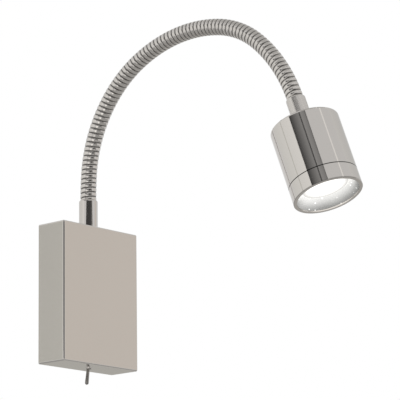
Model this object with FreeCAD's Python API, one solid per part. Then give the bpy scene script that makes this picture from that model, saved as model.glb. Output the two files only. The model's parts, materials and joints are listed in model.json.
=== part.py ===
"""Bedside wall reading lamp: a wall box, a bendable ribbed neck and a small LED spot head.

Frame: origin at the centre of the wall bracket's back face, on the wall plane (y = 0).
+Z is up, the lamp stands out toward -Y, +X is to the right seen from the room. Millimetres.
"""
import math
import os

import FreeCAD
import Part

from FreeCAD import Placement, Rotation, Vector

# ---- driving dimensions -------------------------------------------------------------------
# wall box
BOX_WIDTH = 83.0
BOX_HEIGHT = 110.0
BOX_DEPTH = 27.5
BOX_WALL = 1.5
BOX_EDGE_RADIUS = 1.2
BRACKET_PLATE = 1.5
BRACKET_CLEARANCE = 0.3
BRACKET_TAB_WIDTH = 14.0
BRACKET_TAB_DEPTH = 14.0
BRACKET_TAB_OFFSET = 27.0
BRACKET_CORNER_RADIUS = 4.0
WALL_SCREW_HOLE_RADIUS = 2.25
WALL_SCREW_SPACING = 83.3
COVER_SCREW_RADIUS = 2.0
COVER_SCREW_HEAD_RADIUS = 3.5
COVER_SCREW_HEAD_HEIGHT = 2.2
COVER_SCREW_LENGTH = 6.0
COVER_SCREW_FROM_WALL = 8.0

# entry for the supply cable
GROMMET_BORE_RADIUS = 3.8
GROMMET_NECK_RADIUS = 5.4
GROMMET_FLANGE_RADIUS = 7.0
GROMMET_FLANGE = 1.4
GROMMET_Z = -14.0

# neck: a hose of equal links, each bent to one arc
HOSE_CREST_RADIUS = 6.4
HOSE_VALLEY_RADIUS = 5.6
HOSE_BORE_RADIUS = 3.1
HOSE_RIB_PITCH = 3.52
RIBS_PER_LINK = 6
RIB_GROOVE = 1.0
LINK_GAP = 2.3
LINK_GAP_RELIEF = 0.3
HOSE_END_RADIUS = 5.2
COLLAR_RELIEF = 1.0
NOSE_ROOT_RADIUS = 3.9
NOSE_TIP_RADIUS = 3.6
NOSE_REACH = 1.5
SOCKET_RADIUS = 4.8
SOCKET_DEPTH = 3.1
HOSE_TAIL_LENGTH = 8.0
TAIL_OVERLAP_SHARE = 0.1
# links in a row with the same bend, from the wall box to the head: (count, degrees per link)
NECK_BENDS = ((1, 4.5), (5, 11.9), (4, 9.7), (2, 14.2), (3, 9.5))

# collars at both ends of the hose
COLLAR_RADIUS = 7.4
BASE_COLLAR_LENGTH = 23.5
HEAD_COLLAR_LENGTH = 23.0
COLLAR_SHOULDER = 1.3
SHOULDER_STEPS = 4
COLLAR_SEAT_DEPTH = 9.0
HOSE_FIT = 0.05
NIPPLE_RADIUS = 4.95
NIPPLE_BORE_RADIUS = 3.0
NIPPLE_IN_COLLAR = 11.0
NIPPLE_IN_BOX = 9.0
THREAD_FIT = 0.05
HOLE_CLEARANCE = 0.2
LOCK_NUT_FLATS = 14.0
LOCK_NUT_THICKNESS = 4.0
WASHER_RADIUS = 8.5
WASHER_THICKNESS = 0.8
WASHER_TEETH = 12
WASHER_TOOTH = 1.2

# inner cable from the driver to the LED board
CABLE_RADIUS = 2.3

# spot head
HEAD_RADIUS = 26.25
HEAD_LENGTH = 60.0
HEAD_WALL = 1.5
HEAD_TOP_WALL = 2.0
HEAD_EDGE_RADIUS = 1.5
BEZEL_HEIGHT = 12.5
BEZEL_SEAM = 0.3
BEZEL_SLEEVE_LENGTH = 4.5
BEZEL_SLEEVE_WALL = 1.2
BEZEL_LIP = 1.0
SLIP_CLEARANCE = 0.15
LENS_RADIUS = 18.0
LENS_THICKNESS = 2.0
LENS_RECESS = 8.0
LENS_GASKET = 0.8
LENS_GASKET_WIDTH = 1.4
REFLECTOR_WALL = 1.0
REFLECTOR_THROAT_RADIUS = 7.2
HEAT_SINK_LENGTH = 22.0
HEAT_SINK_BASE = 5.0
HEAT_SINK_CORE_RADIUS = 9.0
HEAT_SINK_FINS = 12
HEAT_SINK_FIN = 1.6
LED_BOARD_RADIUS = 14.5
LED_BOARD_THICKNESS = 1.6
THERMAL_PAD_THICKNESS = 0.5
LED_CHIP_RADIUS = 6.5
LED_CHIP_THICKNESS = 1.2
BOARD_SCREW_RADIUS = 1.25
BOARD_SCREW_HEAD_RADIUS = 2.4
BOARD_SCREW_HEAD = 1.6
BOARD_SCREW_LENGTH = 5.0
BOARD_SCREW_CIRCLE = 11.9

# toggle switch in the bottom of the box
TOGGLE_BODY_X = 13.2
TOGGLE_BODY_Y = 8.0
TOGGLE_BODY_Z = 9.5
TOGGLE_BUSH_RADIUS = 2.5
TOGGLE_BUSH_BORE = 2.1
TOGGLE_BUSH_OUT = 0.8
TOGGLE_NUT_FLATS = 8.0
TOGGLE_NUT_THICKNESS = 1.6
TOGGLE_LEVER_REACH = 13.6
TOGGLE_LEVER_ROOT_RADIUS = 1.05
TOGGLE_LEVER_TIP_RADIUS = 1.5
TOGGLE_LEVER_TAIL = 3.0
TOGGLE_LEVER_LEAN = 8.0
TOGGLE_PIVOT_DEPTH = 0.9
TOGGLE_HUB_RADIUS = 1.6
TOGGLE_HUB_HALF = 1.2
TOGGLE_PIN_RADIUS = 0.5
TOGGLE_PIN_FIT = 0.05
TOGGLE_LUG_WIDTH = 1.2
TOGGLE_LUG_THICKNESS = 0.8
TOGGLE_LUG_LENGTH = 4.0
TOGGLE_LUG_SPACING = 4.7

# driver, terminals and leads inside the box
DRIVER_X = 56.0
DRIVER_Y = 18.0
DRIVER_Z = 36.0
DRIVER_BOTTOM_Z = -2.0
DRIVER_EDGE_RADIUS = 2.0
DRIVER_EAR = 7.0
DRIVER_EAR_THICKNESS = 2.0
DRIVER_SCREW_RADIUS = 1.5
DRIVER_SCREW_HEAD_RADIUS = 2.8
DRIVER_SCREW_HEAD = 1.8
BLOCK_X = 24.0
BLOCK_Y = 12.0
BLOCK_Z = 12.0
BLOCK_FROM_SIDE = 2.7
BLOCK_TOP_Z = -22.0
BLOCK_POLES = 3
BLOCK_PITCH = 8.0
BLOCK_WIRE_HOLE_RADIUS = 1.6
BLOCK_WIRE_HOLE_DEPTH = 4.0
BLOCK_SCREW_RADIUS = 1.8
BLOCK_SCREW_LENGTH = 4.0
BLOCK_SCREW_WELL = 1.5
EARTH_FROM_SIDE = 11.7
EARTH_Z = -22.0
EARTH_SCREW_RADIUS = 2.0
EARTH_SCREW_HEAD_RADIUS = 3.5
EARTH_SCREW_HEAD = 2.4
EARTH_TAG_RADIUS = 4.0
EARTH_TAG_THICKNESS = 0.8
EARTH_TAG_BARREL_RADIUS = 1.6
EARTH_TAG_BARREL_LENGTH = 6.0
LEAD_RADIUS = 0.9
LEAD_RISE = 7.0
CORD_BACK_SHARE = 0.45
CORD_ARC_STEPS = 3
INPUT_OFFSET = 9.5
SLOT_WIDTH = 0.8
SLOT_DEPTH = 0.8
HEAD_CHAMFER_SHARE = 0.4

# ---- values worked out from them ----------------------------------------------------------
X = Vector(1, 0, 0)
Y = Vector(0, 1, 0)
Z = Vector(0, 0, 1)
BOX_TOP = BOX_HEIGHT / 2
BOX_BOTTOM = -BOX_HEIGHT / 2
BOX_MID_Y = -BOX_DEPTH / 2
LINK_LENGTH = HOSE_RIB_PITCH * RIBS_PER_LINK
LINK_BENDS = [bend for count, bend in NECK_BENDS for _ in range(count)]
PLATE_HALF_WIDTH = BOX_WIDTH / 2 - BOX_WALL - BRACKET_CLEARANCE
BLOCK_CENTRE_X = -(PLATE_HALF_WIDTH - BLOCK_FROM_SIDE - BLOCK_X / 2)
EARTH_X = PLATE_HALF_WIDTH - EARTH_FROM_SIDE
NECK_START = Vector(0, BOX_MID_Y, BOX_TOP + BASE_COLLAR_LENGTH)


# ---- small helpers ------------------------------------------------------------------------
def box(x, y, z):
    """A box from three (low, high) pairs."""
    size = [high - low for low, high in (x, y, z)]
    return Part.makeBox(*size, Vector(x[0], y[0], z[0]))


def cylinder(radius, start, end):
    """A cylinder between two points."""
    axis = end - start
    return Part.makeCylinder(radius, axis.Length, start, axis)


def revolve(profile):
    """A solid turned about the Z axis from a closed (radius, z) outline."""
    points = [Vector(r, 0, z) for r, z in profile]
    face = Part.Face(Part.makePolygon(points + points[:1]))
    return face.revolve(Vector(0, 0, 0), Z, 360)


def hexagon_nut(flats, thickness, bore, z):
    """A nut with a vertical bore, standing from z upward."""
    corner = flats / math.sqrt(3)
    angles = [math.radians(60 * i) for i in range(7)]
    outline = Part.makePolygon([Vector(corner * math.cos(a), corner * math.sin(a), z) for a in angles])
    nut = Part.Face(outline).extrude(Z * thickness)
    return nut.cut(cylinder(bore, Vector(0, 0, z), Vector(0, 0, z + thickness)))


def slotted_screw(radius, length, head_radius, head, seat, axis):
    """A pan-head screw: the head stands on the seat point and the shank runs along the axis."""
    chamfer = head * HEAD_CHAMFER_SHARE
    screw = revolve([
        (0, -head), (head_radius - chamfer, -head), (head_radius, -head + chamfer), (head_radius, 0),
        (radius, 0), (radius, length), (0, length),
    ])
    slot_half = head_radius + SLOT_WIDTH
    slot = box((-slot_half, slot_half), (-SLOT_WIDTH / 2, SLOT_WIDTH / 2), (-head, -head + SLOT_DEPTH))
    screw = screw.cut(slot)
    screw.Placement = Placement(seat, Rotation(Z, axis))
    return screw


def moved(shape, vector):
    """A copy of a shape moved by a vector."""
    copy = shape.copy()
    copy.translate(vector)
    return copy


def rounded(shape, radius, wanted):
    """Rounds the edges for which wanted(edge) is true."""
    return shape.makeFillet(radius, [edge for edge in shape.Edges if wanted(edge)])


def along(edge, axis):
    """Whether a straight edge runs along an axis."""
    ends = [v.Point for v in edge.Vertexes]
    return len(ends) == 2 and abs((ends[1] - ends[0]).normalize().dot(axis)) > 0.999


def rounded_route(points):
    """A route's points with each corner replaced by points on its tangent arc."""
    points = [Vector(*p) for p in points]
    route = points[:1]
    for before, corner, after in zip(points, points[1:], points[2:]):
        into = (corner - before).normalize()
        out = (after - corner).normalize()
        turn = math.acos(into.dot(out))
        back = CORD_BACK_SHARE * min((corner - before).Length, (after - corner).Length)
        arc_radius = back / math.tan(turn / 2)
        centre = corner + (out - into).normalize() * (arc_radius / math.cos(turn / 2))
        axis = into.cross(out)
        spoke = corner - into * back - centre
        for i in range(CORD_ARC_STEPS + 1):
            swing = Rotation(axis, math.degrees(turn) * i / CORD_ARC_STEPS)
            route.append(centre + swing.multVec(spoke))
        print("cord arc radius", round(arc_radius, 1))
    return route + points[-1:]


def mitred_tube(route, radius):
    """A round solid along short straight runs with mitred corners."""
    path = Part.makePolygon(route)
    ring = Part.Wire(Part.makeCircle(radius, route[0], (route[1] - route[0]).normalize()))
    right_corner = 1
    return path.makePipeShell([ring], True, False, right_corner)


def cord(points, radius):
    """A round cord along straight runs joined by tangent arcs, each arc in short steps."""
    return mitred_tube(rounded_route(points), radius)


# ---- wall box -----------------------------------------------------------------------------
def box_shell(inset):
    """The box's block, drawn in by an inset on every face but the wall face."""
    return box(
        (-BOX_WIDTH / 2 + inset, BOX_WIDTH / 2 - inset),
        (-BOX_DEPTH + inset, 0),
        (BOX_BOTTOM + inset, BOX_TOP - inset),
    )


def cover_screw_places():
    """Where the cover screws stand on the top face."""
    return [Vector(side * BRACKET_TAB_OFFSET, -COVER_SCREW_FROM_WALL, BOX_TOP) for side in (-1, 1)]


def housing_cover():
    """Sheet cover, open at the wall, with holes for the neck, the toggle and the cover screws."""
    outer = rounded(box_shell(0), BOX_EDGE_RADIUS, lambda e: not on_wall(e))
    shell = outer.cut(box_shell(BOX_WALL))
    down = Vector(0, 0, -BOX_WALL)
    neck = Vector(0, BOX_MID_Y, BOX_TOP)
    toggle = Vector(0, BOX_MID_Y, BOX_BOTTOM)
    shell = shell.cut(cylinder(NIPPLE_RADIUS + HOLE_CLEARANCE, neck + down, neck))
    shell = shell.cut(cylinder(TOGGLE_BUSH_RADIUS + HOLE_CLEARANCE, toggle, toggle - down))
    for place in cover_screw_places():
        shell = shell.cut(cylinder(COVER_SCREW_RADIUS + HOLE_CLEARANCE, place + down, place))
    return shell


def on_wall(edge):
    """Whether an edge lies in the wall plane."""
    return all(abs(v.Point.y) < 1e-6 for v in edge.Vertexes)


def wall_bracket():
    """Plate on the wall with tabs bent forward: two tapped ones on top, two plain ones below."""
    half_x = PLATE_HALF_WIDTH
    half_z = BOX_TOP - BOX_WALL - BRACKET_CLEARANCE
    plate = box((-half_x, half_x), (-BRACKET_PLATE, 0), (-half_z, half_z))
    plate = rounded(plate, BRACKET_CORNER_RADIUS, lambda e: along(e, Y))
    for side in (-1, 1):
        x = side * BRACKET_TAB_OFFSET
        for end in (-1, 1):
            z = sorted((end * (half_z - BRACKET_PLATE), end * half_z))
            tab = box((x - BRACKET_TAB_WIDTH / 2, x + BRACKET_TAB_WIDTH / 2), (-BRACKET_TAB_DEPTH, 0), z)
            plate = plate.fuse(tab)
    for place in cover_screw_places():
        low = Vector(place.x, place.y, half_z - BRACKET_PLATE)
        plate = plate.cut(cylinder(COVER_SCREW_RADIUS + THREAD_FIT, low, place))
    back = Vector(0, -BRACKET_PLATE, 0)
    for end in (-1, 1):
        place = Vector(0, 0, end * WALL_SCREW_SPACING / 2)
        plate = plate.cut(cylinder(WALL_SCREW_HOLE_RADIUS, place + back, place))
    place = Vector(0, 0, GROMMET_Z)
    plate = plate.cut(cylinder(GROMMET_NECK_RADIUS, place + back, place))
    for place, radius in plate_screws():
        plate = plate.cut(cylinder(radius + THREAD_FIT, place + back, place))
    return plate.removeSplitter()


def plate_screws():
    """Tapped holes in the plate: the driver's two and the earth screw's."""
    ear_x = DRIVER_X / 2 + DRIVER_EAR / 2
    ear_z = DRIVER_BOTTOM_Z + DRIVER_Z / 2
    driver = [(Vector(side * ear_x, 0, ear_z), DRIVER_SCREW_RADIUS) for side in (-1, 1)]
    return driver + [(Vector(EARTH_X, 0, EARTH_Z), EARTH_SCREW_RADIUS)]


def cover_screws():
    """Two screws through the cover's top into the bracket's tabs."""
    screws = [
        slotted_screw(COVER_SCREW_RADIUS, COVER_SCREW_LENGTH, COVER_SCREW_HEAD_RADIUS,
                      COVER_SCREW_HEAD_HEIGHT, place, -Z)
        for place in cover_screw_places()
    ]
    return Part.makeCompound(screws)


def cable_grommet():
    """Rubber ring in the bracket plate, with a groove that the plate's edge sits in."""
    neck = GROMMET_NECK_RADIUS
    front = BRACKET_PLATE + GROMMET_FLANGE
    ring = revolve([
        (GROMMET_BORE_RADIUS, 0), (neck, 0), (neck, BRACKET_PLATE),
        (GROMMET_FLANGE_RADIUS, BRACKET_PLATE), (GROMMET_FLANGE_RADIUS - 0.4, front),
        (GROMMET_BORE_RADIUS, front),
    ])
    ring.Placement = Placement(Vector(0, 0, GROMMET_Z), Rotation(Z, -Y))
    return ring


# ---- driver, terminals and leads ----------------------------------------------------------
def driver_depths():
    """The driver's back and front planes: it is centred in the box's depth."""
    return BOX_MID_Y - DRIVER_Y / 2, BOX_MID_Y + DRIVER_Y / 2


def led_driver():
    """Sealed driver case with two ears that reach back to the plate."""
    low, high = driver_depths()
    top = DRIVER_BOTTOM_Z + DRIVER_Z
    case = box((-DRIVER_X / 2, DRIVER_X / 2), (low, high), (DRIVER_BOTTOM_Z, top))
    case = rounded(case, DRIVER_EDGE_RADIUS, lambda e: along(e, Z) or along(e, X))
    ear_z = DRIVER_BOTTOM_Z + DRIVER_Z / 2
    ear_y = (-BRACKET_PLATE - DRIVER_EAR_THICKNESS, -BRACKET_PLATE)
    half = DRIVER_X / 2 + DRIVER_EAR
    foot = box((-half, half), ear_y, (ear_z - DRIVER_EAR, ear_z + DRIVER_EAR))
    foot = rounded(foot, DRIVER_EDGE_RADIUS, lambda e: along(e, Y))
    post_x = DRIVER_X / 2 - DRIVER_EDGE_RADIUS
    post = box((-post_x, post_x), (low + DRIVER_Y / 2, -BRACKET_PLATE), (ear_z - DRIVER_EAR, ear_z + DRIVER_EAR))
    driver = case.fuse([foot, post])
    for place, radius in plate_screws()[:2]:
        front = place + Vector(0, ear_y[0], 0)
        driver = driver.cut(cylinder(radius + HOLE_CLEARANCE, front, place))
    return driver.removeSplitter()


def driver_screws():
    """Two screws through the driver's ears into the bracket plate."""
    seat_y = -BRACKET_PLATE - DRIVER_EAR_THICKNESS
    screws = [
        slotted_screw(DRIVER_SCREW_RADIUS, BRACKET_PLATE + DRIVER_EAR_THICKNESS, DRIVER_SCREW_HEAD_RADIUS,
                      DRIVER_SCREW_HEAD, Vector(place.x, seat_y, place.z), Y)
        for place, _ in plate_screws()[:2]
    ]
    return Part.makeCompound(screws)


def pole_places():
    """The terminal block's poles, left to right, at the middle of its top face."""
    first = BLOCK_CENTRE_X - BLOCK_PITCH * (BLOCK_POLES - 1) / 2
    y = -BRACKET_PLATE - BLOCK_Y / 2
    return [Vector(first + BLOCK_PITCH * i, y, BLOCK_TOP_Z) for i in range(BLOCK_POLES)]


def terminal_block():
    """Moulded block with a wire hole above and below each pole and a screw well in front."""
    x = (BLOCK_CENTRE_X - BLOCK_X / 2, BLOCK_CENTRE_X + BLOCK_X / 2)
    y = (-BRACKET_PLATE - BLOCK_Y, -BRACKET_PLATE)
    block = box(x, y, (BLOCK_TOP_Z - BLOCK_Z, BLOCK_TOP_Z))
    block = rounded(block, 0.8, lambda e: along(e, Y))
    for left, right in zip(pole_places(), pole_places()[1:]):
        groove_x = (left.x + right.x) / 2
        groove = box((groove_x - 0.5, groove_x + 0.5), (y[0], y[0] + 1.5), (BLOCK_TOP_Z - BLOCK_Z, BLOCK_TOP_Z))
        block = block.cut(groove)
    for top in pole_places():
        bottom = top - Z * BLOCK_Z
        block = block.cut(cylinder(BLOCK_WIRE_HOLE_RADIUS, top - Z * BLOCK_WIRE_HOLE_DEPTH, top))
        block = block.cut(cylinder(BLOCK_WIRE_HOLE_RADIUS, bottom, bottom + Z * BLOCK_WIRE_HOLE_DEPTH))
        mouth = Vector(top.x, y[0], BLOCK_TOP_Z - BLOCK_Z / 2)
        depth = BLOCK_SCREW_WELL + BLOCK_SCREW_LENGTH
        block = block.cut(cylinder(BLOCK_SCREW_RADIUS, mouth, mouth + Y * depth))
    return block


def terminal_screws():
    """One clamp screw at the foot of each well."""
    screws = []
    for top in pole_places():
        mouth = Vector(top.x, -BRACKET_PLATE - BLOCK_Y + BLOCK_SCREW_WELL, BLOCK_TOP_Z - BLOCK_Z / 2)
        screw = cylinder(BLOCK_SCREW_RADIUS - THREAD_FIT, mouth, mouth + Y * BLOCK_SCREW_LENGTH)
        slot = box((mouth.x - 2, mouth.x + 2), (mouth.y, mouth.y + SLOT_DEPTH),
                   (mouth.z - SLOT_WIDTH / 2, mouth.z + SLOT_WIDTH / 2))
        screws.append(screw.cut(slot))
    return Part.makeCompound(screws)


def earth_screw():
    """Earth screw in the bracket plate, its head clamping the tag."""
    seat = Vector(EARTH_X, -BRACKET_PLATE - EARTH_TAG_THICKNESS, EARTH_Z)
    return slotted_screw(EARTH_SCREW_RADIUS, BRACKET_PLATE + EARTH_TAG_THICKNESS,
                         EARTH_SCREW_HEAD_RADIUS, EARTH_SCREW_HEAD, seat, Y)


def earth_tag_mouth():
    """Where the earth lead meets the tag's barrel."""
    y = -BRACKET_PLATE - EARTH_TAG_BARREL_RADIUS
    return Vector(EARTH_X, y, EARTH_Z + EARTH_TAG_RADIUS + EARTH_TAG_BARREL_LENGTH)


def earth_tag():
    """Ring tag under the earth screw with a crimp barrel on top."""
    centre = Vector(EARTH_X, -BRACKET_PLATE - EARTH_TAG_THICKNESS, EARTH_Z)
    ring = cylinder(EARTH_TAG_RADIUS, centre, centre + Y * EARTH_TAG_THICKNESS)
    mouth = earth_tag_mouth()
    barrel = cylinder(EARTH_TAG_BARREL_RADIUS, mouth - Z * (EARTH_TAG_BARREL_LENGTH + 0.5), mouth)
    tag = ring.fuse(barrel)
    tag = tag.cut(cylinder(EARTH_SCREW_RADIUS + HOLE_CLEARANCE, centre, centre + Y * EARTH_TAG_THICKNESS))
    return tag.cut(cylinder(LEAD_RADIUS, mouth - Z * 3, mouth))


def lug_places():
    """Tips of the toggle's two lugs."""
    top = toggle_body_bottom() + TOGGLE_BODY_Z + TOGGLE_LUG_LENGTH
    return [Vector(side * TOGGLE_LUG_SPACING / 2, BOX_MID_Y, top) for side in (-1, 1)]


def live_lead():
    """From the last pole of the block to the toggle's left lug."""
    pole = pole_places()[-1]
    lug = lug_places()[0]
    return cord([pole, (pole.x, pole.y, pole.z + LEAD_RISE),
                 (lug.x - LEAD_RISE, BOX_MID_Y, pole.z + LEAD_RISE),
                 (lug.x, lug.y, pole.z - LEAD_RISE / 4), lug], LEAD_RADIUS)


def switched_lead():
    """From the toggle's right lug up to the driver's input."""
    lug = lug_places()[1]
    end = Vector(INPUT_OFFSET, BOX_MID_Y, DRIVER_BOTTOM_Z)
    return cord([lug, (lug.x, lug.y, lug.z + LEAD_RISE), (end.x, end.y, end.z - 2 * LEAD_RISE), end], LEAD_RADIUS)


def neutral_lead():
    """From the middle pole to the driver's input."""
    pole = pole_places()[1]
    end = Vector(-2 * INPUT_OFFSET, BOX_MID_Y, DRIVER_BOTTOM_Z)
    return cord([pole, (pole.x, pole.y, pole.z + LEAD_RISE), (end.x, end.y, end.z - LEAD_RISE), end], LEAD_RADIUS)


def earth_lead():
    """From the first pole over the cable entry to the earth tag."""
    pole = pole_places()[0]
    tag = earth_tag_mouth()
    high = DRIVER_BOTTOM_Z - LEAD_RISE / 2
    return cord([pole, (pole.x, pole.y, high - LEAD_RISE), (pole.x + LEAD_RISE, pole.y, high),
                 (tag.x - 2 * LEAD_RISE, pole.y, high), (tag.x, tag.y, high), tag], LEAD_RADIUS)


# ---- toggle switch ------------------------------------------------------------------------
def toggle_body_bottom():
    """The toggle body stands on its nut, which stands on the cover's floor."""
    return BOX_BOTTOM + BOX_WALL + TOGGLE_NUT_THICKNESS


def toggle_pivot():
    """Centre of the lever's cross pin."""
    return Vector(0, BOX_MID_Y, toggle_body_bottom() + TOGGLE_PIVOT_DEPTH)


def toggle_body():
    """Moulded switch body with a chamber for the lever's hub."""
    bottom = toggle_body_bottom()
    half_x = TOGGLE_BODY_X / 2
    half_y = TOGGLE_BODY_Y / 2
    body = box((-half_x, half_x), (BOX_MID_Y - half_y, BOX_MID_Y + half_y), (bottom, bottom + TOGGLE_BODY_Z))
    body = rounded(body, 0.6, lambda e: along(e, Z))
    pivot = toggle_pivot()
    chamber_half = TOGGLE_HUB_RADIUS + 0.9
    chamber = box((-chamber_half, chamber_half),
                  (BOX_MID_Y - TOGGLE_HUB_RADIUS - 0.3, BOX_MID_Y + TOGGLE_HUB_RADIUS + 0.3),
                  (bottom, pivot.z + TOGGLE_LEVER_TAIL + 1))
    return body.cut(chamber).cut(toggle_pin_shape(TOGGLE_PIN_RADIUS))


def toggle_pin_shape(radius):
    """The cross pin's cylinder, along Y through the pivot."""
    half = TOGGLE_HUB_RADIUS + 1.3
    return cylinder(radius, toggle_pivot() - Y * half, toggle_pivot() + Y * half)


def toggle_pin():
    """Cross pin that the lever rocks on."""
    return toggle_pin_shape(TOGGLE_PIN_RADIUS)


def toggle_bushing():
    """Threaded bushing from the body through the cover's floor."""
    top = toggle_body_bottom()
    tip = BOX_BOTTOM - TOGGLE_BUSH_OUT
    bush = revolve([(TOGGLE_BUSH_BORE, tip), (TOGGLE_BUSH_RADIUS - 0.2, tip), (TOGGLE_BUSH_RADIUS, tip + 0.2),
                    (TOGGLE_BUSH_RADIUS, top), (TOGGLE_BUSH_BORE, top)])
    return moved(bush, Vector(0, BOX_MID_Y, 0))


def toggle_nut():
    """Nut on the bushing, between the body and the cover's floor."""
    nut = hexagon_nut(TOGGLE_NUT_FLATS, TOGGLE_NUT_THICKNESS, TOGGLE_BUSH_RADIUS + THREAD_FIT,
                      BOX_BOTTOM + BOX_WALL)
    return moved(nut, Vector(0, BOX_MID_Y, 0))


def toggle_lugs():
    """Two solder lugs on the back of the body."""
    lugs = []
    for tip in lug_places():
        lugs.append(box((tip.x - TOGGLE_LUG_WIDTH / 2, tip.x + TOGGLE_LUG_WIDTH / 2),
                        (tip.y - TOGGLE_LUG_THICKNESS / 2, tip.y + TOGGLE_LUG_THICKNESS / 2),
                        (tip.z - TOGGLE_LUG_LENGTH, tip.z)))
    return Part.makeCompound(lugs)


def toggle_lever():
    """Bat lever: thin at the root, thicker to its round tip, leaning to its rest position."""
    pivot = toggle_pivot()
    reach = pivot.z - BOX_BOTTOM + TOGGLE_LEVER_REACH
    tip = TOGGLE_LEVER_TIP_RADIUS
    root = TOGGLE_LEVER_ROOT_RADIUS
    bat = Part.makeCone(root, tip, reach - tip, Vector(0, 0, 0), -Z)
    end = Part.makeSphere(tip, Vector(0, 0, -(reach - tip)))
    hub = cylinder(TOGGLE_HUB_RADIUS, -Y * TOGGLE_HUB_HALF, Y * TOGGLE_HUB_HALF)
    tail = cylinder(root * 0.7, Vector(0, 0, 0), Z * TOGGLE_LEVER_TAIL)
    lever = bat.fuse([end, hub, tail])
    hole = TOGGLE_HUB_RADIUS * 1.2
    lever = lever.cut(cylinder(TOGGLE_PIN_RADIUS + TOGGLE_PIN_FIT, -Y * hole, Y * hole))
    lever.Placement = Placement(pivot, Rotation(Y, TOGGLE_LEVER_LEAN))
    return lever


# ---- neck ---------------------------------------------------------------------------------
def joint_places():
    """The hose's joint points: link k runs from place k to place k + 1."""
    places = [Placement(NECK_START, Rotation())]
    for bend in LINK_BENDS:
        turn = math.radians(bend)
        radius = LINK_LENGTH / turn
        offset = Vector(0, -radius * (1 - math.cos(turn)), radius * math.sin(turn))
        places.append(places[-1].multiply(Placement(offset, Rotation(X, bend))))
    return places


def chord_length(bend):
    """The straight length of a link that stands for an arc of LINK_LENGTH."""
    return 2 * LINK_LENGTH / math.radians(bend) * math.sin(math.radians(bend) / 2)


def link_outline(length, first, last):
    """Half outline of a link along +Z: ribs outside, a socket at the foot, a nose at the top."""
    half_gap = LINK_GAP / 2
    pitch = length / RIBS_PER_LINK
    outside = []
    for rib in range(RIBS_PER_LINK):
        low = rib * pitch + RIB_GROOVE / 2
        high = (rib + 1) * pitch - RIB_GROOVE / 2
        if rib == 0:
            low = COLLAR_RELIEF if first else half_gap + LINK_GAP_RELIEF
        if rib == RIBS_PER_LINK - 1:
            high = length - (COLLAR_RELIEF if last else half_gap + LINK_GAP_RELIEF)
        outside += [(HOSE_VALLEY_RADIUS, low), (HOSE_CREST_RADIUS, low),
                    (HOSE_CREST_RADIUS, high), (HOSE_VALLEY_RADIUS, high)]
    foot = [(HOSE_BORE_RADIUS, 0), (HOSE_END_RADIUS, 0)]
    if not first:
        foot = [(HOSE_BORE_RADIUS, SOCKET_DEPTH), (SOCKET_RADIUS, SOCKET_DEPTH),
                (SOCKET_RADIUS, half_gap), (HOSE_VALLEY_RADIUS, half_gap)]
    top = [(HOSE_END_RADIUS, length), (HOSE_BORE_RADIUS, length)]
    if not last:
        top = [(HOSE_VALLEY_RADIUS, length - half_gap), (NOSE_ROOT_RADIUS, length - half_gap),
               (NOSE_TIP_RADIUS, length + NOSE_REACH), (HOSE_BORE_RADIUS, length + NOSE_REACH)]
    return foot + outside + top


def tail(way):
    """Plain end of the hose that sits in a collar, from its seat along +Z or -Z."""
    far = Z * (way * HOSE_TAIL_LENGTH)
    return cylinder(HOSE_VALLEY_RADIUS, -far * TAIL_OVERLAP_SHARE, far)


def hose_link(place, bend, first, last):
    """One stretch of ribbed hose in place. Its nose enters the next link's socket with room to tilt.

    The first and the last link run out into a plain tail for their collar instead.
    """
    link = revolve(link_outline(chord_length(bend), first, last))
    link.Placement = place.multiply(Placement(Vector(0, 0, 0), Rotation(X, bend / 2)))
    for at_end, way, wanted in ((place, -1, first), (joint_places()[-1], 1, last)):
        if wanted:
            end = tail(way)
            channel = cylinder(HOSE_BORE_RADIUS, Z * -2 * HOSE_TAIL_LENGTH, Z * 2 * HOSE_TAIL_LENGTH)
            end.Placement = at_end
            channel.Placement = at_end
            link = link.fuse(end).cut(channel)
    return link.removeSplitter()


def hose_links():
    """All links of the neck in place, by node name."""
    last = len(LINK_BENDS) - 1
    return {
        f"hose_link_{k + 1:02d}": hose_link(joint_places()[k], bend, k == 0, k == last)
        for k, bend in enumerate(LINK_BENDS)
    }


def collar_profile(length, bore):
    """Half outline of a collar whose hose seat is at z = 0 and whose foot is at z = length."""
    seat = HOSE_VALLEY_RADIUS + HOSE_FIT
    return [(seat, 0)] + shoulder(COLLAR_RADIUS, COLLAR_SHOULDER, 0) + [
        (COLLAR_RADIUS, length), (bore, length), (bore, COLLAR_SEAT_DEPTH), (seat, COLLAR_SEAT_DEPTH)]


def arm_base_collar():
    """Collar that stands on the box, holds the hose's tail and is screwed onto the nipple."""
    collar = revolve(collar_profile(BASE_COLLAR_LENGTH, NIPPLE_RADIUS + THREAD_FIT))
    collar.Placement = Placement(NECK_START, Rotation(X, 180))
    return collar


def arm_nipple():
    """Hollow threaded tube that ties the collar to the box's top wall."""
    low = BOX_TOP - BOX_WALL - NIPPLE_IN_BOX
    high = BOX_TOP + NIPPLE_IN_COLLAR
    chamfer = 0.4
    tube = revolve([
        (NIPPLE_BORE_RADIUS, low), (NIPPLE_RADIUS - chamfer, low), (NIPPLE_RADIUS, low + chamfer),
        (NIPPLE_RADIUS, high - chamfer), (NIPPLE_RADIUS - chamfer, high), (NIPPLE_BORE_RADIUS, high),
    ])
    return moved(tube, Vector(0, BOX_MID_Y, 0))


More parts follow.
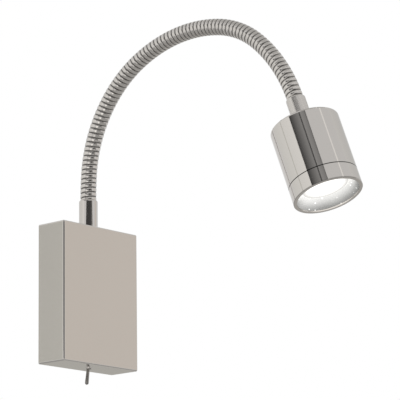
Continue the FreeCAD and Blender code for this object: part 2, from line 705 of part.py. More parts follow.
def toothed_washer():
    """Locking washer with outer teeth, under the cover's top wall."""
    top = BOX_TOP - BOX_WALL
    low = top - WASHER_THICKNESS
    washer = cylinder(WASHER_RADIUS, Vector(0, 0, low), Vector(0, 0, top))
    notch = Part.makeCylinder(WASHER_TOOTH, WASHER_THICKNESS, Vector(WASHER_RADIUS, 0, low))
    for i in range(WASHER_TEETH):
        cut = notch.copy()
        cut.rotate(Vector(0, 0, 0), Z, 360.0 * i / WASHER_TEETH)
        washer = washer.cut(cut)
    washer = washer.cut(cylinder(NIPPLE_RADIUS + HOLE_CLEARANCE, Vector(0, 0, low), Vector(0, 0, top)))
    return moved(washer, Vector(0, BOX_MID_Y, 0))


def arm_lock_nut():
    """Nut on the nipple under the washer."""
    z = BOX_TOP - BOX_WALL - WASHER_THICKNESS - LOCK_NUT_THICKNESS
    nut = hexagon_nut(LOCK_NUT_FLATS, LOCK_NUT_THICKNESS, NIPPLE_RADIUS + THREAD_FIT, z)
    return moved(nut, Vector(0, BOX_MID_Y, 0))


def led_cable():
    """Two-core cable from the driver through the whole neck to the LED board."""
    start = Vector(0, BOX_MID_Y, DRIVER_BOTTOM_Z + DRIVER_Z)
    end = joint_places()[-1].multVec(Z * board_back())
    return mitred_tube([start] + [place.Base for place in joint_places()] + [end], CABLE_RADIUS)


# ---- head, drawn along +Z from the hose's end at z = 0 to the rim ---------------------------
def head_top():
    """The housing's top plane."""
    return HEAD_COLLAR_LENGTH


def rim():
    """The plane of the bezel's rim."""
    return head_top() + HEAD_LENGTH


def seam():
    """The plane where the bezel meets the housing."""
    return rim() - BEZEL_HEIGHT


def sink_face():
    """The heat sink's front face, which carries the LED board."""
    return head_top() + HEAD_TOP_WALL + LOCK_NUT_THICKNESS + HEAT_SINK_LENGTH


def board_back():
    """The back of the LED board."""
    return sink_face() + THERMAL_PAD_THICKNESS


def board_front():
    """The front of the LED board."""
    return board_back() + LED_BOARD_THICKNESS


def lens_front():
    """The visible face of the lens."""
    return rim() - LENS_RECESS


def lens_back():
    """The lens's inner face."""
    return lens_front() - LENS_THICKNESS


def inner_radius():
    """The housing's inner radius."""
    return HEAD_RADIUS - HEAD_WALL


def head_collar():
    """Collar on the hose's end with a threaded spigot through the housing's top wall."""
    seat = HOSE_VALLEY_RADIUS + HOSE_FIT
    spigot = HEAD_COLLAR_LENGTH + HEAD_TOP_WALL + LOCK_NUT_THICKNESS
    outline = collar_profile(HEAD_COLLAR_LENGTH, NIPPLE_RADIUS)[:-3]
    outline += [(NIPPLE_RADIUS, HEAD_COLLAR_LENGTH), (NIPPLE_RADIUS, spigot), (NIPPLE_BORE_RADIUS, spigot),
                (NIPPLE_BORE_RADIUS, COLLAR_SEAT_DEPTH), (seat, COLLAR_SEAT_DEPTH)]
    return revolve(outline)


def shoulder(radius, rounding, z):
    """Outline points of a rounded shoulder that starts at height z."""
    angles = [math.pi / 2 * i / SHOULDER_STEPS for i in range(SHOULDER_STEPS + 1)]
    return [(radius - rounding * (1 - math.sin(a)), z + rounding * (1 - math.cos(a))) for a in angles]


def head_housing():
    """Turned cup that closes the head toward the hose."""
    end = seam() - BEZEL_SEAM
    hole = NIPPLE_RADIUS + HOLE_CLEARANCE
    inner_top = head_top() + HEAD_TOP_WALL
    return revolve([(hole, head_top())] + shoulder(HEAD_RADIUS, HEAD_EDGE_RADIUS, head_top()) + [
        (HEAD_RADIUS, end), (inner_radius(), end), (inner_radius(), inner_top), (hole, inner_top)])


def head_lock_nut():
    """Nut on the collar's spigot inside the housing."""
    return hexagon_nut(LOCK_NUT_FLATS, LOCK_NUT_THICKNESS, NIPPLE_RADIUS + THREAD_FIT,
                       head_top() + HEAD_TOP_WALL)


def head_bezel():
    """Front ring with a thin lip at the rim and a sleeve that screws into the housing."""
    sleeve_outer = inner_radius() - SLIP_CLEARANCE
    sleeve_inner = sleeve_outer - BEZEL_SLEEVE_WALL
    lip_inner = HEAD_RADIUS - HEAD_WALL - BEZEL_LIP
    return revolve([
        (sleeve_inner, seam() - BEZEL_SLEEVE_LENGTH), (sleeve_outer, seam() - BEZEL_SLEEVE_LENGTH),
        (sleeve_outer, seam()), (HEAD_RADIUS, seam()), (HEAD_RADIUS, rim() - 0.3),
        (HEAD_RADIUS - 0.3, rim()), (lip_inner, rim()), (lip_inner, rim() - BEZEL_LIP),
        (inner_radius(), rim() - BEZEL_LIP), (inner_radius(), seam() + 1.0), (sleeve_inner, seam() + 1.0),
    ])


def reflector():
    """Polished cone from the rim to the lens, and a cup from the lens seat to the LED."""
    wall = REFLECTOR_WALL
    front = rim() - BEZEL_LIP
    mouth = inner_radius() - SLIP_CLEARANCE
    seat = lens_back() - LENS_GASKET
    hold = LENS_RADIUS + SLIP_CLEARANCE
    ledge = LENS_RADIUS - LENS_GASKET_WIDTH
    throat_z = board_front() + LED_CHIP_THICKNESS + 0.3
    return revolve([
        (hold, lens_front()), (mouth - wall, front), (mouth, front), (mouth, front - wall),
        (hold + wall, lens_front() - wall), (hold + wall, seat - wall),
        (REFLECTOR_THROAT_RADIUS + wall, throat_z), (REFLECTOR_THROAT_RADIUS, throat_z),
        (ledge, seat), (hold, seat),
    ])


def lens_gasket():
    """Soft ring between the lens and its ledge."""
    low = lens_back() - LENS_GASKET
    inner = LENS_RADIUS - LENS_GASKET_WIDTH
    return revolve([(inner, low), (LENS_RADIUS, low), (LENS_RADIUS, lens_back()), (inner, lens_back())])


def diffuser_lens():
    """Frosted disc with a small chamfer on its front edge."""
    chamfer = 0.4
    return revolve([
        (0, lens_back()), (LENS_RADIUS, lens_back()), (LENS_RADIUS, lens_front() - chamfer),
        (LENS_RADIUS - chamfer, lens_front()), (0, lens_front()),
    ])


def heat_sink():
    """Core and front plate in one, with radial fins behind the plate and a channel for the cable."""
    face = sink_face()
    back = face - HEAT_SINK_LENGTH
    radius = inner_radius() - BEZEL_SLEEVE_WALL - 2 * SLIP_CLEARANCE
    plate = cylinder(radius, Z * (face - HEAT_SINK_BASE), Z * face)
    core = cylinder(HEAT_SINK_CORE_RADIUS, Z * back, Z * face)
    fin = box((0, radius), (-HEAT_SINK_FIN / 2, HEAT_SINK_FIN / 2), (back, face))
    fins = []
    for i in range(HEAT_SINK_FINS):
        copy = fin.copy()
        copy.rotate(Vector(0, 0, 0), Z, 360.0 * i / HEAT_SINK_FINS)
        fins.append(copy)
    sink = plate.fuse([core] + fins)
    sink = sink.common(cylinder(radius, Z * back, Z * face))
    sink = sink.cut(cylinder(NIPPLE_BORE_RADIUS, Z * back, Z * face))
    for x, y in board_screw_places():
        start = Vector(x, y, face - BOARD_SCREW_LENGTH)
        sink = sink.cut(cylinder(BOARD_SCREW_RADIUS + THREAD_FIT, start, Vector(x, y, face)))
    return sink.removeSplitter()


def board_screw_places():
    """The two board screws, across the LED, clear of the fins' plane of symmetry."""
    return [(side * BOARD_SCREW_CIRCLE, 0) for side in (-1, 1)]


def board_disc(radius, low, high, hole):
    """A disc of the LED stack with its two screw holes."""
    disc = cylinder(radius, Z * low, Z * high)
    for x, y in board_screw_places():
        disc = disc.cut(cylinder(hole, Vector(x, y, low), Vector(x, y, high)))
    return disc


def thermal_pad():
    """Pad between the heat sink and the board, open in the middle for the cable."""
    pad = board_disc(LED_BOARD_RADIUS, sink_face(), board_back(), BOARD_SCREW_RADIUS + HOLE_CLEARANCE)
    return pad.cut(cylinder(NIPPLE_BORE_RADIUS, Z * sink_face(), Z * board_back()))


def led_board():
    """Round metal-core board."""
    return board_disc(LED_BOARD_RADIUS, board_back(), board_front(), BOARD_SCREW_RADIUS + HOLE_CLEARANCE)


def led_chip():
    """Round light source on the board."""
    return cylinder(LED_CHIP_RADIUS, Z * board_front(), Z * (board_front() + LED_CHIP_THICKNESS))


def board_screws():
    """Two screws that clamp the board to the heat sink."""
    length = board_front() - sink_face() + BOARD_SCREW_LENGTH - 0.5
    screws = [
        slotted_screw(BOARD_SCREW_RADIUS, length, BOARD_SCREW_HEAD_RADIUS, BOARD_SCREW_HEAD,
                      Vector(x, y, board_front()), -Z)
        for x, y in board_screw_places()
    ]
    return Part.makeCompound(screws)


# ---- assembly -----------------------------------------------------------------------------
BOX_PIECES = (
    housing_cover, wall_bracket, cover_screws, cable_grommet, led_driver, driver_screws,
    terminal_block, terminal_screws, earth_screw, earth_tag,
    live_lead, switched_lead, neutral_lead, earth_lead,
    toggle_body, toggle_pin, toggle_bushing, toggle_nut, toggle_lugs, toggle_lever,
    arm_base_collar, arm_nipple, toothed_washer, arm_lock_nut, led_cable,
)
HEAD_PIECES = (
    head_collar, head_housing, head_lock_nut, head_bezel, reflector, lens_gasket, diffuser_lens,
    heat_sink, thermal_pad, led_board, led_chip, board_screws,
)


def assembly():
    """Every piece in place, by node name."""
    nodes = {make.__name__: make() for make in BOX_PIECES}
    nodes.update(hose_links())
    head_place = joint_places()[-1]
    for make in HEAD_PIECES:
        shape = make()
        shape.Placement = head_place.multiply(shape.Placement)
        nodes[make.__name__] = shape
    return nodes


def main():
    """Writes each piece to its own file and prints what the joints need."""
    os.makedirs("parts", exist_ok=True)
    for name, shape in assembly().items():
        if not shape.isValid() or shape.Volume <= 0:
            raise ValueError(name + " is not a sound solid")
        shape.exportStep(f"parts/{name}.step")
    for k, place in enumerate(joint_places()):
        way = place.Rotation.multVec(Z)
        print("joint", k, [round(c, 4) for c in place.Base], [round(c, 6) for c in way])


main()
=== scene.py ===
"""Looks of the bedside wall reading lamp: finishes, wound neck, glowing lens and studio.

Metres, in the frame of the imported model: the wall is the plane y = 0, the room is toward -Y,
+Z is up. Azimuths turn from -Y toward +X, elevations from the horizon toward +Z.
"""
import json
import math

import bpy
import numpy as np
from mathutils import Matrix, Vector

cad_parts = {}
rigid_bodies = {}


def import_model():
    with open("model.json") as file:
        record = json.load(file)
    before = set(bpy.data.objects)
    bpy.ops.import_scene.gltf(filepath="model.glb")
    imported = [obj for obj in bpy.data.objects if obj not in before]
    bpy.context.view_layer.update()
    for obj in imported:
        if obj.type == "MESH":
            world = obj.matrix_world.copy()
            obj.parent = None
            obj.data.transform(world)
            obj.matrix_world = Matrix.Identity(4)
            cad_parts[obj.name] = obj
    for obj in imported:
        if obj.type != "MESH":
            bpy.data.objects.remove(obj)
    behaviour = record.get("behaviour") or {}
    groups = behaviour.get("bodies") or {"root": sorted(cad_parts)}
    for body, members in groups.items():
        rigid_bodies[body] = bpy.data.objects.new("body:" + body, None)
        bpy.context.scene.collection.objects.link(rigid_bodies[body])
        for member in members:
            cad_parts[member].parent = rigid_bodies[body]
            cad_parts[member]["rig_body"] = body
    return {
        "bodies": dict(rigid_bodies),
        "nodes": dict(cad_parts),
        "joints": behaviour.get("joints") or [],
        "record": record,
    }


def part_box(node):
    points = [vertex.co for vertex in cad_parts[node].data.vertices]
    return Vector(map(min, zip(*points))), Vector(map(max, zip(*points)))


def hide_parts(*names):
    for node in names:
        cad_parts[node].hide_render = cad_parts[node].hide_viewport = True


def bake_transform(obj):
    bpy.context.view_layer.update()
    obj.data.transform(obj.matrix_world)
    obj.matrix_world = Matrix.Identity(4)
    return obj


bl_info = {
    "name": "Reading lamp looks",
    "version": (1, 0, 0),
    "blender": (4, 5, 0),
    "location": "3D View > Sidebar > Lamp",
    "description": "Finishes, wound neck, light and studio for a wall reading lamp",
    "category": "Object",
}

MM = 0.001


def grey(value):
    """A grey as three equal parts of a colour."""
    return (value, value, value)


# ---- the neck's route, as in the model: equal links, each bent to one arc --------------------
LINK_LENGTH = 21.12 * MM
# How many links in a row have which bend in degrees, from the base up.
NECK_BENDS = ((1, 4.5), (5, 11.9), (4, 9.7), (2, 14.2), (3, 9.5))
LINK_BENDS = np.radians([bend for count, bend in NECK_BENDS for _ in range(count)])
NECK_LENGTH = LINK_LENGTH * len(LINK_BENDS)
# Share of a link on each side of a joint that gives the points the joint bends between.
BEND_REACH = 0.45

# ---- the hose and the cable in it ------------------------------------------------------------
HOSE_SIDES = 96
RINGS_PER_TURN = 16
CABLE_RADIUS = 2.3 * MM
CABLE_SIDES = 24
CABLE_RING_STEP = 2.0 * MM

# ---- finishes: noise scales are per metre, a gloss is a range of roughness -------------------
SHARP_ANGLE = math.radians(30)
# How far a vertex may lie inside the widest radius and still count as on it.
WIDEST_SLACK = 0.05 * MM

ROUGHNESS_SPREAD = 0.2
RELIEF_FINENESS = 8
RELIEF_STRENGTH = 0.15

POLISHED_GLOSS = (0.04, 0.09)
SATIN_GLOSS = (0.24, 0.30)
PLATING_GRAIN = 420.0
WIPE_SCALE = 14.0
WIPE_SHADE = 0.97
WAVE_STRENGTH = 0.04
WAVE_HEIGHT = 0.4 * MM
LEVER_SHADE = 0.45
# Painted shade: a thin dark line painted on the head's plating where the housing meets the
# bezel.
SEAM_LINE_HALF = 0.45 * MM
SEAM_PAINTED_SHADE = 0.05
# Painted shade: a slightly darker line painted on the plating at the bezel's rim.
RIM_LINE_HALF = 0.6 * MM
RIM_PAINTED_SHADE = 0.74

# Fullness of a turn below which the finish is that of the groove, and above which the crest's.
GROOVE_FULLNESS = 0.48
CREST_FULLNESS = 0.94
# Painted shade: share of the tint that the colour darkens to down in the grooves between turns.
GROOVE_PAINTED_SHADE = 0.12
GROOVE_ROUGHNESS = 0.5
CREST_ROUGHNESS = 0.15
HOSE_GRAIN = 300.0
HOSE_RELIEF_STRENGTH = 0.05
HOSE_RELIEF = 0.1 * MM

SPUN_COLOURS = ((0.58, 0.58, 0.57), (0.68, 0.68, 0.67))
SPUN_GLOSS = (0.30, 0.42)
SPUN_GRAIN = 500.0
# Painted light: the reflector glows as if lit by the lens, brightest at the lens, none at the
# rim.
PAINTED_GLOW_COLOUR = (1, 0.99, 0.97, 1)
PAINTED_GLOW_STRENGTH = 0.58
# Painted highlights: small glowing sparkles painted on the reflector.
PAINTED_SPARKLE_CELLS = 280.0
# Distance from a cell's middle, as a share of a cell, to which a painted sparkle is full, and
# its end.
PAINTED_SPARKLE_CORE = 0.11
PAINTED_SPARKLE_EDGE = 0.18
PAINTED_SPARKLE_STRENGTH = 0.9

LENS_COLOUR = (0.45, 0.45, 0.44, 1)
LENS_FROST = (0.35, 0.55)
LENS_GRAIN = 900.0
LENS_GRAIN_SHADE = 0.93
# Share of the lens's radius that glows fully, and the share of the glow left at its edge.
LENS_CORE = 0.62
LENS_EDGE_SHARE = 0.38

# ---- where the photograph was taken from -----------------------------------------------------
# The camera looks past the origin: right and up are how far it is shifted, in metres.
CAMERA_AZIMUTH = math.radians(-48.67)
CAMERA_ELEVATION = math.radians(-12.75)
CAMERA_ROLL = math.radians(-0.75)
CAMERA_DISTANCE = 1.892
CAMERA_RIGHT = 0.0977
CAMERA_UP = 0.0794
CAMERA_LENS = 216.0
CAMERA_SENSOR = 36.0

# ---- studio ----------------------------------------------------------------------------------
# What the metal reflects: name, azimuth and elevation in degrees, distance, width, height, and
# the colours at the low and the high azimuth.
CARDS = (
    ("box_front_card", 48.7, 12.7, 2.4, 0.9, 1.1, (0.75, 0.71, 0.66), (0.79, 0.74, 0.70)),
    ("box_side_card", -134, 11, 2.3, 0.10, 0.62, (0.61, 0.61, 0.58), (0.65, 0.65, 0.61)),
    ("box_floor_card", 131, -12.7, 2.4, 0.9, 0.9, (0.44, 0.43, 0.40), (0.50, 0.49, 0.46)),
    ("pale_card_left", -137, 17, 2.45, 3.75, 1.5, (0.80, 0.805, 0.785), (0.965, 0.965, 0.95)),
    ("collar_band", -35, 11.5, 2.2, 4.0, 0.46, grey(0.05), grey(0.09)),
    ("neck_glint", -66, -11, 2.4, 1.0, 1.65, (1.25, 1.24, 1.21), (1.25, 1.24, 1.21)),
    ("overhead_card", 0, 89, 2.4, 2.9, 2.9, (0.55, 0.55, 0.54), (0.55, 0.55, 0.54)),
    ("neck_band", -23, 7, 2.3, 1.5, 1.4, grey(0.10), grey(0.15)),
    ("head_band_left", -82.5, 29, 2.3, 1.26, 0.80, grey(0.05), grey(0.34)),
    ("head_band_line", -64.5, 33, 2.2, 0.13, 0.75, grey(0.10), grey(0.10)),
    ("head_band_right", -55, 36, 2.3, 0.66, 0.70, grey(0.37), grey(0.27)),
    ("head_band_end", -46, 37, 2.2, 0.06, 0.70, grey(0.16), grey(0.16)),
    ("head_right_card", 3, 42, 2.45, 3.9, 1.4, grey(0.74), grey(0.74)),
    ("head_edge_card", 78, 33, 2.4, 2.1, 0.9, (0.76, 0.76, 0.75), (0.60, 0.60, 0.59)),
    ("rim_card", 115, -36, 2.4, 0.9, 0.9, (0.60, 0.59, 0.57), (0.72, 0.71, 0.69)),
    ("pale_line_right", 10.5, 42, 2.3, 0.14, 1.8, (1.0, 0.99, 0.97), (1.0, 0.99, 0.97)),
)
# Azimuth and elevation in degrees, distance, size and power in watts.
KEY_LIGHT = (-20, 35, 2.5, 1.2, 12)
FLOOR_Z = -2.6
FLOOR_WIDTH = 16.0
FLOOR_COLOURS = ((0.50, 0.50, 0.49), (0.53, 0.53, 0.52))
FLOOR_GRAIN = 3.0
FLOOR_ROUGHNESS = 0.9

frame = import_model() if __name__ == "__main__" else None


# ---- settings --------------------------------------------------------------------------------
class LampSettings(bpy.types.PropertyGroup):
    """Sizes and colours that can be changed before the pieces are made."""

    rib_pitch: bpy.props.FloatProperty(
        name="Rib pitch", description="Length of one turn of the neck's winding",
        default=3.75 * MM, unit="LENGTH")
    crest_radius: bpy.props.FloatProperty(
        name="Crest radius", description="Outer radius of the neck",
        default=6.4 * MM, unit="LENGTH")
    groove_depth: bpy.props.FloatProperty(
        name="Groove depth", description="Depth of the groove between two turns",
        default=1.0 * MM, unit="LENGTH")
    bead_power: bpy.props.FloatProperty(
        name="Bead fullness", description="2 is a half-round turn, more is flatter on top",
        default=2.6)
    nickel: bpy.props.FloatVectorProperty(
        name="Nickel", description="Tint of the polished plating",
        default=(0.66, 0.63, 0.60), subtype="COLOR")
    lens_light: bpy.props.FloatVectorProperty(
        name="Lens light", description="Colour of the lit lens",
        default=(1.0, 0.98, 0.95), subtype="COLOR")
    lens_strength: bpy.props.FloatProperty(
        name="Lens strength", description="Brightness of the lit lens", default=1.3)
    studio_grey: bpy.props.FloatProperty(
        name="Studio grey", description="Brightness of the room that the metal reflects",
        default=0.8)


# ---- materials -------------------------------------------------------------------------------
class Nodes:
    """A short way to build one material's node tree."""

    def __init__(self, name):
        self.material = bpy.data.materials.new(name)
        self.material.use_nodes = True
        self.tree = self.material.node_tree
        self.shader = self.tree.nodes["Principled BSDF"]

    def add(self, kind, **values):
        """A node with its input sockets set by name."""
        node = self.tree.nodes.new(kind)
        for socket, value in values.items():
            node.inputs[socket.replace("_", " ")].default_value = value
        return node

    def link(self, source, target):
        """Joins an output socket to an input socket."""
        self.tree.links.new(source, target)

    def set(self, **values):
        """Sets the shader's sockets by name, each to a value or to an output socket."""
        for socket, value in values.items():
            target = self.shader.inputs[socket.replace("_", " ")]
            if isinstance(value, bpy.types.NodeSocket):
                self.link(value, target)
            else:
                target.default_value = value

    def place(self):
        """A point of the surface in the object's own space."""
        return self.add("ShaderNodeTexCoord").outputs["Object"]

    def noise(self, scale, detail=3.0):
        """Noise from 0 to 1 in the object's own space."""
        node = self.add("ShaderNodeTexNoise", Scale=scale, Detail=detail)
        self.link(self.place(), node.inputs["Vector"])
        return node.outputs["Fac"]

    def colour_mix(self, blend_type="MIX"):
        """A node that mixes two colours."""
        mix = self.add("ShaderNodeMix")
        mix.data_type = "RGBA"
        mix.blend_type = blend_type
        return mix

    def ramp(self, source, low, high):
        """Maps a 0 to 1 value onto a range of colours."""
        mix = self.colour_mix()
        mix.inputs["A"].default_value = (*low, 1)
        mix.inputs["B"].default_value = (*high, 1)
        self.link(source, mix.inputs["Factor"])
        return mix.outputs["Result"]

    def tinted(self, colour, tint):
        """A colour multiplied by another."""
        mix = self.colour_mix("MULTIPLY")
        mix.inputs["Factor"].default_value = 1.0
        self.link(colour, mix.inputs["A"])
        self.link(tint, mix.inputs["B"])
        return mix.outputs["Result"]

    def map_range(self, source, smooth=False, **limits):
        """Maps a number from one range onto another; a range that isn't given is 0 to 1."""
        node = self.add("ShaderNodeMapRange", **limits)
        if smooth:
            node.interpolation_type = "SMOOTHSTEP"
        self.link(source, node.inputs["Value"])
        return node.outputs["Result"]

    def spread(self, source, low, high):
        """Maps a 0 to 1 value onto a range of numbers."""
        return self.map_range(source, To_Min=low, To_Max=high)

    def maths(self, operation, first, second):
        """One maths step between an output socket and a number or another output."""
        node = self.add("ShaderNodeMath")
        node.operation = operation
        self.link(first, node.inputs[0])
        if isinstance(second, float):
            node.inputs[1].default_value = second
        else:
            self.link(second, node.inputs[1])
        return node.outputs["Value"]

    def vector_maths(self, operation, first, second=None):
        """A vector maths node on an output socket and, if there is one, a fixed vector."""
        node = self.add("ShaderNodeVectorMath")
        node.operation = operation
        self.link(first, node.inputs[0])
        if second is not None:
            node.inputs[1].default_value = second
        return node

    def along_axis(self, start, way):
        """How far a point of the surface lies along an axis."""
        dot = self.vector_maths("DOT_PRODUCT", self.place(), way)
        return self.maths("SUBTRACT", dot.outputs["Value"], float(start @ way))

    def off_axis(self, start, way):
        """How far a point of the surface lies from an axis."""
        arm = self.vector_maths("SUBTRACT", self.place(), start)
        cross = self.vector_maths("CROSS_PRODUCT", arm.outputs["Vector"], way)
        return self.vector_maths("LENGTH", cross.outputs["Vector"]).outputs["Value"]

    def band(self, source, middle, inner, outer):
        """0 within inner of the middle value, 1 beyond outer."""
        off = self.maths("SUBTRACT", source, float(middle))
        size = self.maths("MAXIMUM", off, self.maths("MULTIPLY", off, -1.0))
        return self.map_range(size, From_Min=inner, From_Max=outer)

    def bump(self, source, strength, distance):
        """A fine relief from a 0 to 1 height."""
        node = self.add("ShaderNodeBump", Strength=strength, Distance=distance)
        self.link(source, node.inputs["Height"])
        self.set(Normal=node.outputs["Normal"])


def finish(name, colour, roughness, metallic=0.0, scale=90.0, variation=0.06, relief=0.0):
    """A procedural finish: noise varies its tint and roughness, and lifts a fine relief."""
    n = Nodes(name)
    noise = n.noise(scale)
    darker = tuple(c * (1 - variation) for c in colour)
    lighter = tuple(min(1.0, c * (1 + variation)) for c in colour)
    n.set(Base_Color=n.ramp(noise, darker, lighter), Metallic=metallic,
          Roughness=n.spread(noise, roughness * (1 - ROUGHNESS_SPREAD),
                             roughness * (1 + ROUGHNESS_SPREAD)))
    if relief:
        n.bump(n.noise(scale * RELIEF_FINENESS), RELIEF_STRENGTH, relief)
    return n.material


def polished_nickel(name, tint, gloss=POLISHED_GLOSS, seam=None, rim=None):
    """Nickel plating with a faint warm cast, soft wipe marks and a very slight waviness.

    A seam and a rim are places along the head's axis. A thin line of painted shade makes the
    plating dark at the seam, and another makes it a little darker at the rim.
    """
    n = Nodes(name)
    cloud = n.noise(WIPE_SCALE)
    grain = n.noise(PLATING_GRAIN, detail=2.0)
    colour = n.ramp(cloud, tuple(c * WIPE_SHADE for c in tint), tuple(tint))
    # Painted shade lines at the seam and at the rim, multiplied into the plating's colour.
    if seam is not None:
        place = n.along_axis(*head_axis())
        for middle, half, shade in ((seam, SEAM_LINE_HALF, SEAM_PAINTED_SHADE),
                                    (rim, RIM_LINE_HALF, RIM_PAINTED_SHADE)):
            line = n.band(place, middle, half * 0.5, half)
            colour = n.tinted(colour, n.ramp(line, grey(shade), grey(1)))
    n.set(Base_Color=colour, Metallic=1.0, Roughness=n.spread(grain, *gloss))
    n.bump(cloud, WAVE_STRENGTH, WAVE_HEIGHT)
    return n.material


def spun_mirror(lens, rim):
    """Bright aluminium with a fine grain, with a painted glow and small painted sparkles.

    The painted glow fades from the lens to the rim, which are places along the head's axis.
    """
    n = Nodes("spun_mirror")
    # Painted light: emission fading from the lens to the rim stands in for the lens's light on
    # it.
    painted_glow = n.map_range(n.along_axis(*head_axis()), smooth=True, From_Min=lens, From_Max=rim,
                        To_Min=PAINTED_GLOW_STRENGTH, To_Max=0.0)
    # Painted highlights: glowing dots in a grid of cells across the reflector.
    cells = n.add("ShaderNodeTexVoronoi", Scale=PAINTED_SPARKLE_CELLS)
    n.link(n.place(), cells.inputs["Vector"])
    painted_sparkles = n.map_range(cells.outputs["Distance"], From_Min=PAINTED_SPARKLE_CORE, From_Max=PAINTED_SPARKLE_EDGE,
                       To_Min=PAINTED_SPARKLE_STRENGTH, To_Max=0.0)
    grain = n.noise(SPUN_GRAIN, detail=2.0)
    n.set(Base_Color=n.ramp(grain, *SPUN_COLOURS), Metallic=1.0,
          Roughness=n.spread(grain, *SPUN_GLOSS), Emission_Color=PAINTED_GLOW_COLOUR,
          Emission_Strength=n.maths("ADD", painted_glow, painted_sparkles))
    return n.material


def wound_nickel(settings):
    """The neck's nickel: as the rest on the crests, dull with painted shade down in the grooves.
    """
    n = Nodes("wound_nickel")
    crest = n.add("ShaderNodeAttribute")
    crest.attribute_name = "crest"
    height = n.map_range(crest.outputs["Fac"], From_Min=GROOVE_FULLNESS, From_Max=CREST_FULLNESS)
    tint = tuple(settings.nickel)
    # Painted shade: the colour darkens from the crests down into the grooves.
    n.set(Base_Color=n.ramp(height, tuple(c * GROOVE_PAINTED_SHADE for c in tint), tint), Metallic=1.0,
          Roughness=n.spread(height, GROOVE_ROUGHNESS, CREST_ROUGHNESS))
    n.bump(n.noise(HOSE_GRAIN), HOSE_RELIEF_STRENGTH, HOSE_RELIEF)
    return n.material


def lit_lens(settings):
    """Frosted disc lit from behind: bright in its middle, fading to its edge, finely grained."""
    n = Nodes("lit_lens")
    low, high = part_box("diffuser_lens")
    radius = (high[0] - low[0]) / 2
    strength = settings.lens_strength
    fade = n.map_range(n.off_axis(*head_axis()), smooth=True, From_Min=radius * LENS_CORE,
                       From_Max=radius, To_Min=strength, To_Max=strength * LENS_EDGE_SHARE)
    light = tuple(settings.lens_light)
    grain = n.noise(LENS_GRAIN, detail=2.0)
    n.set(Base_Color=LENS_COLOUR, Roughness=n.spread(grain, *LENS_FROST),
          Emission_Color=n.ramp(grain, tuple(c * LENS_GRAIN_SHADE for c in light), light),
          Emission_Strength=fade)
    return n.material


def paint(material, *nodes):
    """Gives CAD nodes one material."""
    for name in nodes:
        mesh = frame["nodes"][name].data
        mesh.materials.clear()
        mesh.materials.append(material)


def smooth(*nodes):
    """Smooth shading with sharp edges kept, on CAD nodes."""
    for name in nodes:
        obj = frame["nodes"][name]
        with bpy.context.temp_override(selected_editable_objects=[obj], object=obj,
                                       active_object=obj):
            bpy.ops.object.shade_smooth_by_angle(angle=SHARP_ANGLE)


# ---- the neck --------------------------------------------------------------------------------
def neck_start():
    """The hose's first point: the middle of the base collar's top."""
    low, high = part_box("arm_base_collar")
    return np.array([(low[0] + high[0]) / 2, (low[1] + high[1]) / 2, high[2]])


def route(s):
    """Points and tangent angles along the neck, for an array of lengths from its start.

    Each link is a circular arc, so a point is its link's first point plus the chord of the part
    arc. Angles run from +Z toward -Y. Before the start and past the end it runs on straight.
    """
    beyond = s - np.clip(s, 0, NECK_LENGTH)
    s = s - beyond
    turns = np.concatenate([[0], np.cumsum(LINK_BENDS)])
    chord = 2 * LINK_LENGTH / LINK_BENDS * np.sin(LINK_BENDS / 2)
    middle = turns[:-1] + LINK_BENDS / 2
    steps = np.stack([-chord * np.sin(middle), chord * np.cos(middle)], 1)
    firsts = np.concatenate([[neck_start()[1:]], neck_start()[1:] + np.cumsum(steps, 0)])
    k = np.clip((s / LINK_LENGTH).astype(int), 0, len(LINK_BENDS) - 1)
    part = (s - k * LINK_LENGTH) / LINK_LENGTH * LINK_BENDS[k]
    reach = 2 * LINK_LENGTH / LINK_BENDS[k] * np.sin(part / 2)
    way = turns[k] + part / 2
    yz = firsts[k] + np.stack([-reach * np.sin(way), reach * np.cos(way)], 1)
    turn = turns[k] + part
    yz += beyond[:, None] * np.stack([-np.sin(turn), np.cos(turn)], 1)
    return np.column_stack([np.full(len(s), neck_start()[0]), yz]), turn


def head_axis():
    """Start and direction of the head's axis: the neck's end and its last tangent."""
    end, turn = route(np.array([NECK_LENGTH]))
    return end[0], np.array([0.0, -math.sin(turn[0]), math.cos(turn[0])])


def along_head(node):
    """Lowest and highest place along the head's axis on the widest part of a node."""
    start, way = head_axis()
    vertices = frame["nodes"][node].data.vertices
    points = np.empty(len(vertices) * 3, np.float32)
    vertices.foreach_get("co", points)
    points = points.reshape(-1, 3) - start
    place = points @ way
    radius = np.linalg.norm(points - place[:, None] * way, axis=1)
    widest = place[radius > radius.max() - WIDEST_SLACK]
    return float(widest.min()), float(widest.max())


def ring_angles(sides):
    """Angles round a tube, without the last that repeats the first."""
    return np.linspace(0, 2 * np.pi, sides, endpoint=False)


def winding(s, settings):
    """Fullness of the hose's turn at lengths s and angles a: 0 in the groove, 1 on top.

    The phase s / pitch + a / 2 pi gives a left-hand winding, and one turn's section is a
    superellipse: (1 - |u|^p)^(1/p), where u runs from -1 to 1 across the turn.
    """
    phase = s[:, None] / settings.rib_pitch + ring_angles(HOSE_SIDES)[None, :] / (2 * np.pi)
    u = 2 * (phase % 1) - 1
    return (1 - np.abs(u) ** settings.bead_power) ** (1 / settings.bead_power)


